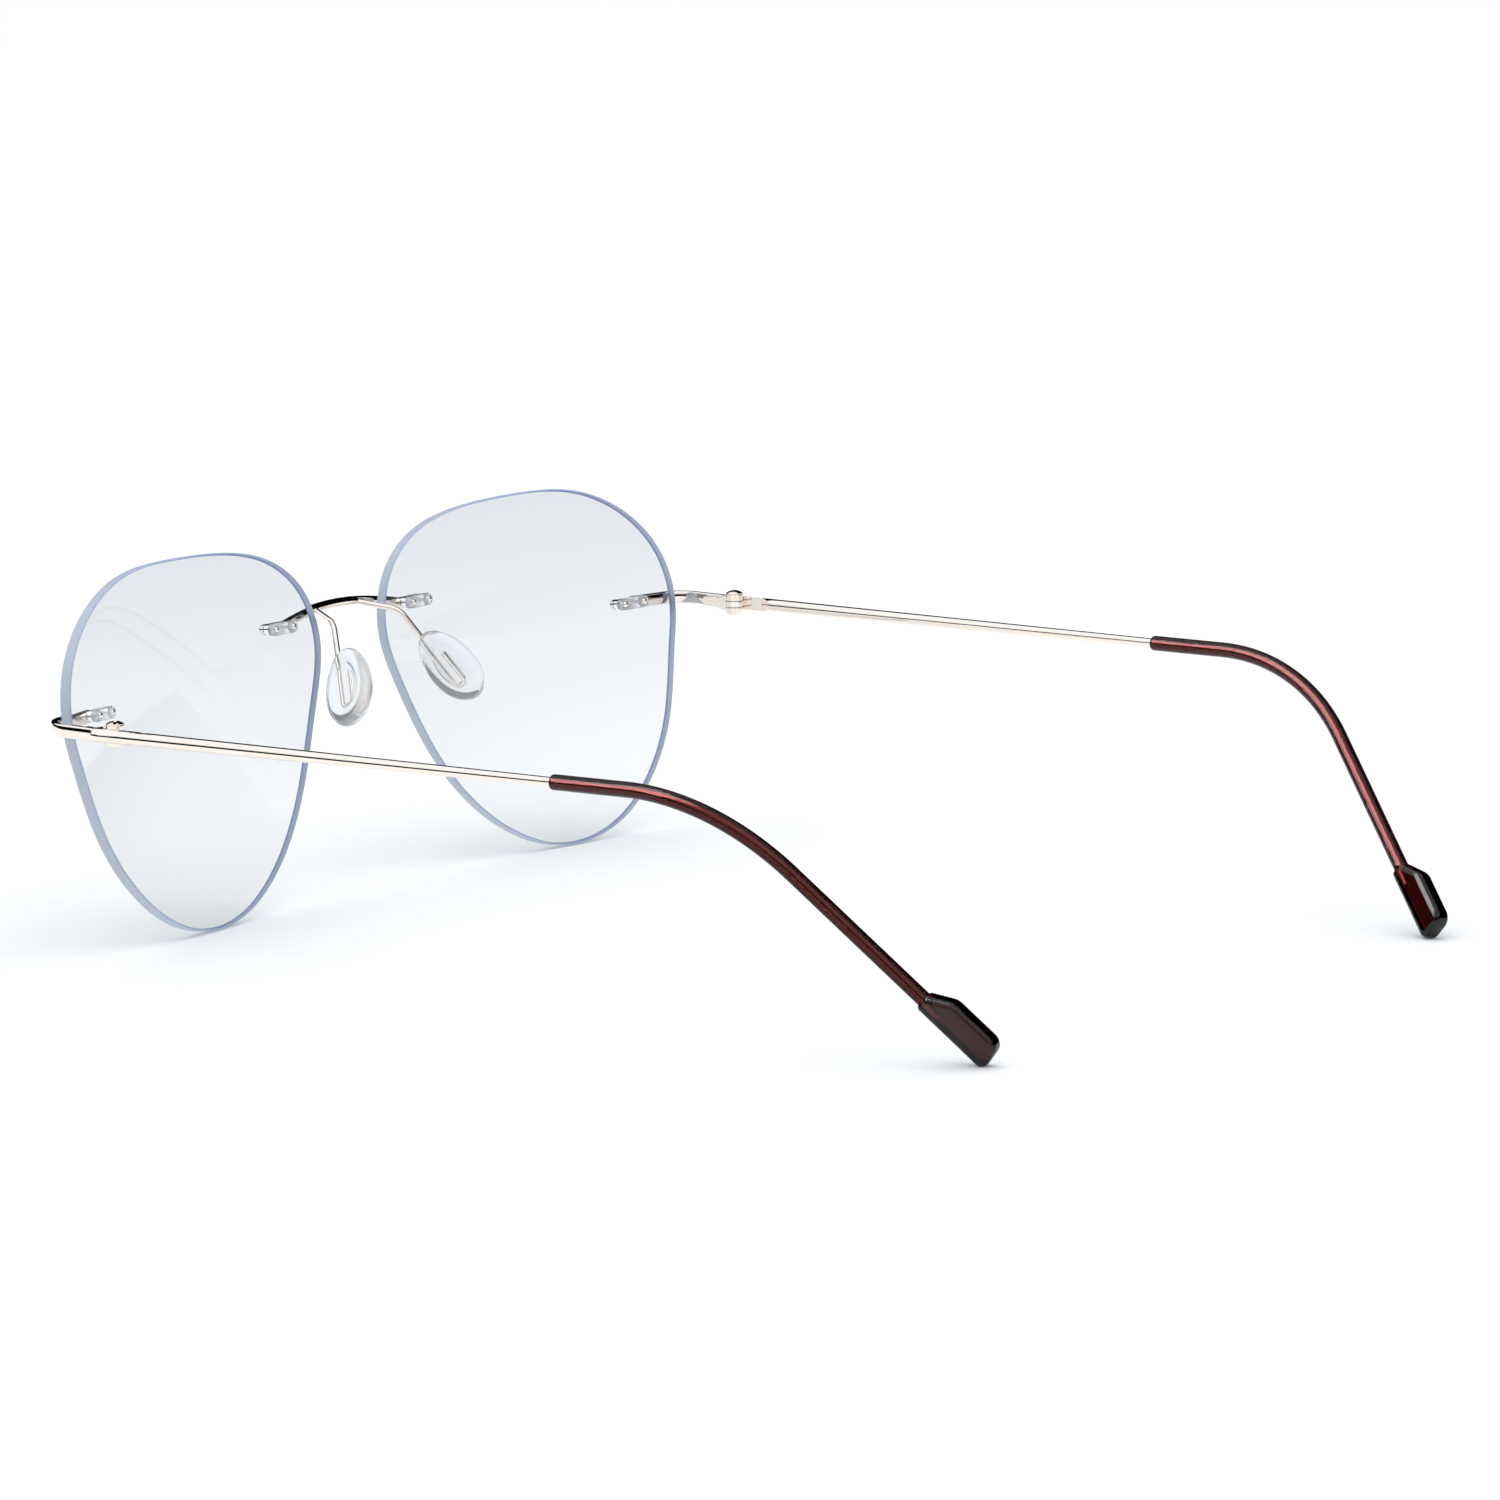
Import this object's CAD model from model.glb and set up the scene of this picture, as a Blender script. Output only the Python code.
"""Looks for the rimless eyeglasses: materials, detailed pieces, floor, light and camera. Metres."""

import math

import bmesh
import bpy
from mathutils import Matrix, Vector


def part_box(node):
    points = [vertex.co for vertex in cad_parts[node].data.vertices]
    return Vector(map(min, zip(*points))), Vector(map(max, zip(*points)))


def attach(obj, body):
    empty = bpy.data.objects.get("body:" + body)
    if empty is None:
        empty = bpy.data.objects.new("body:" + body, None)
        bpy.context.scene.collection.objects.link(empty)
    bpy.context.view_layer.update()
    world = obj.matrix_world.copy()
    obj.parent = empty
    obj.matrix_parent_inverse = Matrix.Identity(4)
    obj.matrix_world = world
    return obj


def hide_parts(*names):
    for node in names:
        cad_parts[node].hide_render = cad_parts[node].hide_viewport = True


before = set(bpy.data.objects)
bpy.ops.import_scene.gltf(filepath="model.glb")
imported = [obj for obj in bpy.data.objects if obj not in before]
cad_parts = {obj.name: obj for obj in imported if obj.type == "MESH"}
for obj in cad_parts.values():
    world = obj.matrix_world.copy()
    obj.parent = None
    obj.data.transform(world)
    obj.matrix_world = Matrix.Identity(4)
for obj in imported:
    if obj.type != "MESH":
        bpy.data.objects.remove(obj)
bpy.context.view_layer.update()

SIDES = ("left", "right")

# Camera: where it looks and from how far, in metres, from which side, in degrees, and its lens and
# sensor, in millimetres.
CAMERA_AIM = Vector((0.0075, 0.0039, 0.0269))
CAMERA_DISTANCE = 1.19
CAMERA_HEADING = -128.8
CAMERA_DROP = 10.03
CAMERA_ROLL = -0.91
CAMERA_LENS = 216.0
CAMERA_SENSOR = 36.0
CAMERA_CLIP = (0.05, 30.0)

# Light: a large softbox overhead, a brighter one beside that lights the tips only, and an even white
# tent. Glossy surfaces see a dark band at the tent's foot, which rises on the -X side, and what is
# seen through clear plastic is lit by a brighter tent.
SKY_COLOUR = (0.87, 0.935, 1.0)
SKY_STRENGTH = 0.82
SKY_IN_GLOSS = 1.5
SKY_THROUGH_PLASTIC = 1.5
BAND_TOP = 0.20
TENT_BOTTOM = 0.30
DARK_SIDE_RISE = 1.2
KEY_SIZE = 6.0
KEY_HEIGHT = 3.2
KEY_POWER = 110.0
KEY_COLOUR = (1.0, 0.975, 0.945)
SIDE_PLACE = Vector((1.10, -0.88, 1.36))
SIDE_WIDTH = 1.2
SIDE_LENGTH = 2.2
SIDE_POWER = 64.0
SIDE_COLOUR = (1.0, 1.0, 1.0)
FLOOR_SIZE = 14.0
FLOOR_COLOUR = (0.92, 0.92, 0.92)
FLOOR_ROUGHNESS = 0.6
FLOOR_GLOSS = 0.2

# Lens: the tilt and wrap of its axis and how far from it the faces of each kind lean, in degrees, and
# how far past its pins the walls of a drilled hole reach, in metres.
LENS_TILT = 9.8
LENS_WRAP = 5.7
OPTICAL_LEAN = 30.0
BEVEL_LEAN = 62.0
HOLE_WALL = 0.0006

# Nose pad: its own axes, its half sizes in metres, how much wider one end is, and its steps round.
PAD_NORMAL = Vector((-0.91, 0.18, -0.37))
PAD_LONG_AXIS = Vector((0.38, 0.46, -0.80))
PAD_HALF_LENGTH = 0.0058
PAD_HALF_WIDTH = 0.0041
PAD_EGG = 0.13
PAD_STEPS_ROUND = 72
# From the middle out: share of the radius, and the height of the nose side and depth of the back, in
# millimetres.
PAD_PROFILE = [
    (0.15, 1.30, 0.78), (0.35, 1.28, 0.78), (0.48, 1.25, 0.80), (0.56, 1.22, 0.90), (0.62, 1.19, 1.12),
    (0.68, 1.15, 1.26), (0.76, 1.08, 1.30), (0.84, 0.96, 1.20), (0.91, 0.78, 0.98), (0.96, 0.54, 0.68),
    (0.99, 0.27, 0.34),
]

# Surfaces: noise scales in cells per metre, the range of the noise that is used, bump depths in metres
# and their strengths, and how far the roughness strays, as multiples of it.
NOISE_LOW, NOISE_HIGH = 0.3, 0.7
GOLD_CLOUD = 900.0
HAIRLINE = 2500.0
HAIRLINE_STRETCH = (1.0, 0.05, 1.0)
HAIRLINE_DEPTH = 0.000002
HAIRLINE_STRENGTH = 0.04
GOLD_STRAY = (0.85, 1.2)
CLEAR_CLOUD = 300.0
CLEAR_STRAY = (0.6, 1.4)
TINT_BLUR = 0.05
EDGE_CLOUD = 120.0
EDGE_GRAIN = 6000.0
EDGE_GRAIN_DEPTH = 0.000004
EDGE_GRAIN_STRENGTH = 0.3
EDGE_ROUGHNESS = (0.20, 0.34)
EDGE_IOR = 1.56
MILKY_CLOUD = 500.0
MILKY_PALER = 1.03
SKIN_GRAIN = 4000.0
SKIN_DEPTH = 0.000003
SKIN_STRENGTH = 0.2
MILKY_STRAY = (0.7, 1.3)


# ---------------------------------------------------------------- node helpers

def new_material(name):
    material = bpy.data.materials.new(name)
    material.use_nodes = True
    nodes = material.node_tree.nodes
    nodes.clear()
    output = nodes.new("ShaderNodeOutputMaterial")
    shader = nodes.new("ShaderNodeBsdfPrincipled")
    material.node_tree.links.new(shader.outputs["BSDF"], output.inputs["Surface"])
    return material, shader


def add(material, kind, **settings):
    node = material.node_tree.nodes.new(kind)
    for key, value in settings.items():
        setattr(node, key, value)
    return node


def link(material, source, target):
    material.node_tree.links.new(source, target)


def noise(material, scale, detail, stretch=(1, 1, 1)):
    """A noise value that stays fixed to the piece."""
    place = add(material, "ShaderNodeTexCoord")
    mapping = add(material, "ShaderNodeMapping")
    mapping.inputs["Scale"].default_value = stretch
    texture = add(material, "ShaderNodeTexNoise")
    texture.inputs["Scale"].default_value = scale
    texture.inputs["Detail"].default_value = detail
    link(material, place.outputs["Object"], mapping.inputs["Vector"])
    link(material, mapping.outputs["Vector"], texture.inputs["Vector"])
    return texture.outputs["Fac"]


def ramp(material, value, low, high):
    """A noise value turned into a number between low and high."""
    node = add(material, "ShaderNodeMapRange")
    node.inputs["From Min"].default_value = NOISE_LOW
    node.inputs["From Max"].default_value = NOISE_HIGH
    node.inputs["To Min"].default_value = low
    node.inputs["To Max"].default_value = high
    link(material, value, node.inputs["Value"])
    return node.outputs["Result"]


def blend_colours(material, value, first, second):
    node = add(material, "ShaderNodeMix", data_type="RGBA")
    node.inputs["A"].default_value = (*first, 1)
    node.inputs["B"].default_value = (*second, 1)
    link(material, value, node.inputs["Factor"])
    return node.outputs["Result"]


def bump(material, shader, value, distance, strength):
    node = add(material, "ShaderNodeBump")
    node.inputs["Distance"].default_value = distance
    node.inputs["Strength"].default_value = strength
    link(material, value, node.inputs["Height"])
    link(material, node.outputs["Normal"], shader.inputs["Normal"])


def absorb(material, colour, density):
    node = add(material, "ShaderNodeVolumeAbsorption")
    node.inputs["Color"].default_value = (*colour, 1)
    node.inputs["Density"].default_value = density
    output = next(n for n in material.node_tree.nodes if n.type == "OUTPUT_MATERIAL")
    link(material, node.outputs["Volume"], output.inputs["Volume"])


# ---------------------------------------------------------------- materials

def gold_plate(name, light, deep, roughness):
    """Polished pale gold plate, with faint cloudiness and drawn-wire hairlines."""
    material, shader = new_material(name)
    cloud = noise(material, GOLD_CLOUD, 3.0)
    link(material, blend_colours(material, cloud, light, deep), shader.inputs["Base Color"])
    shader.inputs["Metallic"].default_value = 1.0
    lines = noise(material, HAIRLINE, 2.0, HAIRLINE_STRETCH)
    rough = ramp(material, lines, *(roughness * stray for stray in GOLD_STRAY))
    link(material, rough, shader.inputs["Roughness"])
    bump(material, shader, lines, HAIRLINE_DEPTH, HAIRLINE_STRENGTH)
    return material


def height_up(material, cloud):
    """How far up its piece a point is, from 0 to 1, blurred a little by a noise value."""
    place = add(material, "ShaderNodeTexCoord")
    split = add(material, "ShaderNodeSeparateXYZ")
    link(material, place.outputs["Generated"], split.inputs["Vector"])
    both = add(material, "ShaderNodeMath", operation="MULTIPLY_ADD", use_clamp=True)
    both.inputs[1].default_value = TINT_BLUR
    link(material, cloud, both.inputs[0])
    link(material, split.outputs["Z"], both.inputs[2])
    return both.outputs["Value"]


def clear_plastic(name, foot, head, roughness, ior, colour, density, glare=1.0):
    """A polished see-through plastic, tinted from foot to head, that darkens with depth.

    Glare below one is a coated surface.
    """
    material, shader = new_material(name)
    cloud = noise(material, CLEAR_CLOUD, 2.0)
    tint = blend_colours(material, height_up(material, cloud), foot, head)
    link(material, tint, shader.inputs["Base Color"])
    rough = ramp(material, cloud, *(roughness * stray for stray in CLEAR_STRAY))
    link(material, rough, shader.inputs["Roughness"])
    shader.inputs["IOR"].default_value = ior
    shader.inputs["Transmission Weight"].default_value = 1.0
    shader.inputs["Specular Tint"].default_value = (glare, glare, glare, 1)
    absorb(material, colour, density)
    return material


def ground_edge(name, light, deep, glow):
    """The ground edge of a lens: it scatters light on both sides. Glow is the share that comes through."""
    material, shader = new_material(name)
    cloud = noise(material, EDGE_CLOUD, 3.0)
    colour = blend_colours(material, cloud, light, deep)
    link(material, colour, shader.inputs["Base Color"])
    grain = noise(material, EDGE_GRAIN, 2.0)
    link(material, ramp(material, grain, *EDGE_ROUGHNESS), shader.inputs["Roughness"])
    bump(material, shader, grain, EDGE_GRAIN_DEPTH, EDGE_GRAIN_STRENGTH)
    shader.inputs["IOR"].default_value = EDGE_IOR
    through = add(material, "ShaderNodeBsdfTranslucent")
    link(material, colour, through.inputs["Color"])
    both = add(material, "ShaderNodeMixShader")
    both.inputs["Fac"].default_value = glow
    link(material, shader.outputs["BSDF"], both.inputs[1])
    link(material, through.outputs["BSDF"], both.inputs[2])
    output = next(n for n in material.node_tree.nodes if n.type == "OUTPUT_MATERIAL")
    link(material, both.outputs["Shader"], output.inputs["Surface"])
    return material


def milky_plastic(name, tint, roughness, ior, clearness):
    """A moulded clear plastic or silicone that scatters a little of the light it passes."""
    material, shader = new_material(name)
    cloud = noise(material, MILKY_CLOUD, 3.0)
    paler = tuple(min(1.0, c * MILKY_PALER) for c in tint)
    link(material, blend_colours(material, cloud, tint, paler), shader.inputs["Base Color"])
    skin = noise(material, SKIN_GRAIN, 2.0)
    rough = ramp(material, skin, *(roughness * stray for stray in MILKY_STRAY))
    link(material, rough, shader.inputs["Roughness"])
    bump(material, shader, skin, SKIN_DEPTH, SKIN_STRENGTH)
    shader.inputs["IOR"].default_value = ior
    shader.inputs["Transmission Weight"].default_value = clearness
    return material


MATERIALS = {
    "gold": gold_plate("gold_plate", (0.93, 0.84, 0.76), (0.88, 0.78, 0.69), 0.07),
    "screw": gold_plate("screw_plate", (0.90, 0.79, 0.70), (0.84, 0.71, 0.61), 0.12),
    "lens": clear_plastic(
        "lens_plastic", (0.965, 0.965, 0.965), (0.735, 0.74, 0.755), 0.0, 1.50,
        (0.55, 0.68, 0.9), 4.0, 0.0),
    "lens_edge": ground_edge("lens_edge", (0.86, 0.91, 1.0), (0.79, 0.85, 0.96), 0.7),
    "lens_bevel": ground_edge("lens_bevel", (0.58, 0.66, 0.86), (0.50, 0.58, 0.80), 0.6),
    "plug": milky_plastic("plug_plastic", (0.95, 0.965, 0.99), 0.08, 1.45, 0.72),
    "silicone": milky_plastic("clear_silicone", (0.96, 0.975, 1.0), 0.10, 1.38, 0.80),
    "tip": clear_plastic(
        "tip_plastic", (0.90, 0.80, 0.78), (0.92, 0.82, 0.80), 0.02, 1.48,
        (0.43, 0.07, 0.045), 4000.0, 0.35),
    "paddle": clear_plastic(
        "paddle_plastic", (0.90, 0.80, 0.78), (0.92, 0.82, 0.80), 0.02, 1.48,
        (0.42, 0.07, 0.05), 2100.0, 0.8),
}

NODE_MATERIALS = {
    "bridge": "gold", "lens": "lens", "nasal_pins": "gold", "nasal_plug": "plug",
    "temporal_pins": "gold", "temporal_plug": "plug", "pad_arm": "gold", "nose_pad": "silicone",
    "endpiece": "gold", "hinge_screw": "screw", "temple": "gold", "tip_sleeve": "tip",
    "tip_paddle": "paddle",
}


def kind_of(name):
    return name.removesuffix("_left").removesuffix("_right")


def dress_frame():
    """Each CAD node's own material."""
    for name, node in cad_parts.items():
        for slot in node.material_slots:
            slot.material = MATERIALS[NODE_MATERIALS[kind_of(name)]]


# ---------------------------------------------------------------- pieces

def mirror_of(side):
    return -1 if side == "right" else 1


def new_piece(name, mesh, body, slot, *nodes):
    piece = bpy.data.objects.new(name, mesh)
    bpy.context.scene.collection.objects.link(piece)
    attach(piece, body)
    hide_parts(*nodes)


def widened_box(name, margin):
    low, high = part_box(name)
    return Vector(low) - Vector((margin,) * 3), Vector(high) + Vector((margin,) * 3)


def inside(point, box):
    low, high = box
    return all(low[i] <= point[i] <= high[i] for i in range(3))


def make_lens(side):
    """The lens, with its two optical faces, its safety bevels and its ground edge told apart."""
    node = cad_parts["lens_" + side]
    mesh = node.data.copy()
    mesh.name = "lens_body_" + side
    mesh.materials.clear()
    for kind in ("lens", "lens_bevel", "lens_edge"):
        mesh.materials.append(MATERIALS[kind])
    wrap, tilt = math.radians(LENS_WRAP * mirror_of(side)), math.radians(LENS_TILT)
    axis = Matrix.Rotation(tilt, 3, "X") @ Matrix.Rotation(wrap, 3, "Z") @ Vector((0, 1, 0))
    holes = [widened_box(mount + side, HOLE_WALL) for mount in ("nasal_pins_", "temporal_pins_")]
    for face in mesh.polygons:
        lean = math.degrees(math.acos(min(1.0, abs(face.normal.dot(axis)))))
        drilled = any(inside(face.center, hole) for hole in holes)
        if lean < OPTICAL_LEAN or drilled:
            face.material_index = 0
        elif lean < BEVEL_LEAN:
            face.material_index = 1
        else:
            face.material_index = 2
    new_piece("lens_body_" + side, mesh, "front", "lens_clear", "lens_" + side)


def make_pad(side):
    """An egg-shaped push-on pad: domed towards the nose, dished behind, with a thick rolled rim."""
    low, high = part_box("nose_pad_" + side)
    centre = (low + high) / 2
    normal = PAD_NORMAL.normalized()
    along = (PAD_LONG_AXIS - normal * PAD_LONG_AXIS.dot(normal)).normalized()
    across = normal.cross(along)

    def point(share, turn, height):
        a = math.cos(turn) * PAD_HALF_LENGTH * share
        b = math.sin(turn) * PAD_HALF_WIDTH * share * (1 + PAD_EGG * math.cos(turn))
        offset = along * a + across * b + normal * height
        return centre + Vector((offset.x * mirror_of(side), offset.y, offset.z))

    rings = [(share, up / 1000) for share, up, _ in PAD_PROFILE]
    rings.append((1.0, 0.0))
    rings += [(share, -down / 1000) for share, _, down in reversed(PAD_PROFILE)]
    count = PAD_STEPS_ROUND
    points = [point(share, math.tau * i / count, height) for share, height in rings for i in range(count)]
    faces = []
    for ring in range(len(rings) - 1):
        for i in range(count):
            a, b = ring * count + i, ring * count + (i + 1) % count
            faces.append((a, b, b + count, a + count))
    faces.append(tuple(reversed(range(count))))
    last = (len(rings) - 1) * count
    faces.append(tuple(range(last, last + count)))
    mesh = bpy.data.meshes.new("nose_pad_body_" + side)
    mesh.from_pydata(points, [], faces)
    fix_normals(mesh)
    mesh.materials.append(MATERIALS["silicone"])
    new_piece("nose_pad_body_" + side, mesh, "front", "silicone_clear", "nose_pad_" + side)


def fix_normals(mesh):
    work = bmesh.new()
    work.from_mesh(mesh)
    bmesh.ops.recalc_face_normals(work, faces=work.faces)
    for face in work.faces:
        face.smooth = True
    work.to_mesh(mesh)
    work.free()


# ---------------------------------------------------------------- stage

def make_floor():
    half = FLOOR_SIZE / 2
    corners = [(-half, -half, 0), (half, -half, 0), (half, half, 0), (-half, half, 0)]
    mesh = bpy.data.meshes.new("floor")
    mesh.from_pydata(corners, [], [(0, 1, 2, 3)])
    floor = bpy.data.objects.new("floor", mesh)
    bpy.context.scene.collection.objects.link(floor)
    material, shader = new_material("floor_white")
    shader.inputs["Base Color"].default_value = (*FLOOR_COLOUR, 1)
    shader.inputs["Roughness"].default_value = FLOOR_ROUGHNESS
    shader.inputs["Specular IOR Level"].default_value = FLOOR_GLOSS
    mesh.materials.append(material)


def make_sky():
    """The white tent, with its strength set by the kind of ray that sees it."""
    world = bpy.data.worlds.new("studio")
    bpy.context.scene.world = world
    world.use_nodes = True
    nodes, links = world.node_tree.nodes, world.node_tree.links
    place = nodes.new("ShaderNodeTexCoord")
    split = nodes.new("ShaderNodeSeparateXYZ")
    links.new(place.outputs["Generated"], split.inputs["Vector"])
    rise = nodes.new("ShaderNodeMapRange")
    rise.inputs["From Max"].default_value = -1.0
    rise.inputs["To Max"].default_value = DARK_SIDE_RISE
    links.new(split.outputs["X"], rise.inputs["Value"])
    height = nodes.new("ShaderNodeMath")
    height.operation = "SUBTRACT"
    links.new(split.outputs["Z"], height.inputs[0])
    links.new(rise.outputs["Result"], height.inputs[1])
    band = nodes.new("ShaderNodeMapRange")
    band.inputs["From Min"].default_value = BAND_TOP
    band.inputs["From Max"].default_value = TENT_BOTTOM
    band.inputs["To Max"].default_value = SKY_IN_GLOSS
    links.new(height.outputs["Value"], band.inputs["Value"])
    ray = nodes.new("ShaderNodeLightPath")
    passed = nodes.new("ShaderNodeMix")
    passed.inputs["A"].default_value = 1.0
    passed.inputs["B"].default_value = SKY_THROUGH_PLASTIC
    links.new(ray.outputs["Is Transmission Ray"], passed.inputs["Factor"])
    seen = nodes.new("ShaderNodeMix")
    links.new(passed.outputs["Result"], seen.inputs["A"])
    links.new(ray.outputs["Is Glossy Ray"], seen.inputs["Factor"])
    links.new(band.outputs["Result"], seen.inputs["B"])
    strength = nodes.new("ShaderNodeMath")
    strength.operation = "MULTIPLY"
    strength.inputs[1].default_value = SKY_STRENGTH
    links.new(seen.outputs["Result"], strength.inputs[0])
    background = nodes["Background"]
    background.inputs["Color"].default_value = (*SKY_COLOUR, 1)
    links.new(strength.outputs["Value"], background.inputs["Strength"])


def make_softbox(name, place, width, length, power, colour):
    """A flat lamp that faces the origin."""
    light = bpy.data.lights.new(name, "AREA")
    light.shape = "RECTANGLE"
    light.size, light.size_y = width, length
    light.energy = power
    light.color = colour
    lamp = bpy.data.objects.new(name, light)
    turn = place.to_track_quat("Z", "Y").to_matrix().to_4x4()
    lamp.matrix_world = Matrix.Translation(place) @ turn
    bpy.context.scene.collection.objects.link(lamp)
    return lamp


def make_lamps():
    key = make_softbox("overhead", Vector((0, 0, KEY_HEIGHT)), KEY_SIZE, KEY_SIZE, KEY_POWER, KEY_COLOUR)
    key.visible_glossy = False
    side = make_softbox("side", SIDE_PLACE, SIDE_WIDTH, SIDE_LENGTH, SIDE_POWER, SIDE_COLOUR)
    lit = bpy.data.collections.new("lit_from_the_side")
    for name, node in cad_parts.items():
        if NODE_MATERIALS[kind_of(name)] in ("tip", "paddle"):
            lit.objects.link(node)
    side.light_linking.receiver_collection = lit


def make_camera():
    data = bpy.data.cameras.new("camera")
    data.lens = CAMERA_LENS
    data.sensor_width = CAMERA_SENSOR
    data.clip_start, data.clip_end = CAMERA_CLIP
    camera = bpy.data.objects.new("camera", data)
    heading, drop = math.radians(CAMERA_HEADING), math.radians(CAMERA_DROP)
    level = Vector((math.sin(heading), math.cos(heading), 0.0))
    forward = level * math.cos(drop) - Vector((0.0, 0.0, math.sin(drop)))
    turn = forward.to_track_quat("-Z", "Y").to_matrix()
    roll = Matrix.Rotation(math.radians(CAMERA_ROLL), 3, "Z")
    place = Matrix.Translation(CAMERA_AIM - forward * CAMERA_DISTANCE)
    camera.matrix_world = place @ (turn @ roll).to_4x4()
    bpy.context.scene.collection.objects.link(camera)
    bpy.context.scene.camera = camera


def main():
    dress_frame()
    for side in SIDES:
        make_lens(side)
        make_pad(side)
    make_floor()
    make_sky()
    make_lamps()
    make_camera()
    bpy.context.scene.view_settings.view_transform = "Standard"


main()
